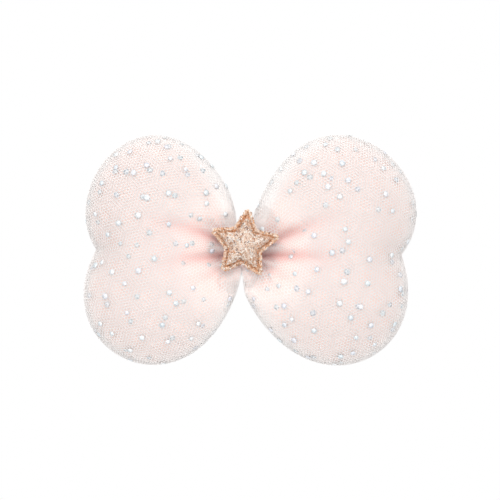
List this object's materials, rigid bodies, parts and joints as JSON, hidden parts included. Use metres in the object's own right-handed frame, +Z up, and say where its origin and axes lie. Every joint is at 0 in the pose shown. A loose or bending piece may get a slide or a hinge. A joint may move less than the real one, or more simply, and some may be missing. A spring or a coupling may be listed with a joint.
{
  "type": "hair bow clip",
  "caption": "Padded tulle hair bow with four round lobes, a glitter star at its gathered waist, and a sprung alligator clip behind.",
  "frame": {"origin": "middle of the flat rear face of the waist band, inside the mouth of the clip, where hair lies", "axes": "+X along the bow to the wearer's left, towards the clip's thumb end; +Y backwards, out of the back of the bow to the hair; +Z up"},
  "size_m": [0.1002, 0.0314, 0.0692],
  "materials": {
    "net": "matt nylon tulle, doubled, with foil dots",
    "lining": "soft pale pink lining",
    "wadding": "polyester wadding",
    "thread": "polyester thread",
    "satin": "satin",
    "felt": "felt",
    "glue": "set hot-melt glue",
    "glitter": "rose-gold glitter fabric",
    "star_thread": "shiny copper-coloured thread",
    "steel": "nickel-plated pressed steel",
    "spring_steel": "drawn spring wire",
    "grosgrain": "grosgrain ribbon"
  },
  "bodies": {
    "bow": {"front_net_cover": "net", "back_net_cover": "net", "front_lining": "lining", "back_lining": "lining", "left_wadding": "wadding", "right_wadding": "wadding", "left_seam_allowance": "net", "right_seam_allowance": "net", "gather_thread": "thread", "waist_band": "satin", "felt_backing": "felt", "star_glue_pad": "glue", "star_backing": "felt", "star_padding": "wadding", "star_front_fabric": "glitter", "star_edge_stitching": "star_thread", "clip_top_arm": "steel", "hinge_pin": "steel", "torsion_spring": "spring_steel", "clip_ribbon": "grosgrain"},
    "jaw": {"clip_jaw": "steel"}
  },
  "joints": [
    {"name": "jaw_hinge", "type": "hinge", "parent": "bow", "child": "jaw", "pos_m": [0.01, 0.0004, 0], "axis": [0, 0, -1], "range_deg": [0, 28], "stiffness_Nm_per_rad": 0.12, "springref_deg": -20.05, "deforming": ["torsion_spring"]}
  ]
}
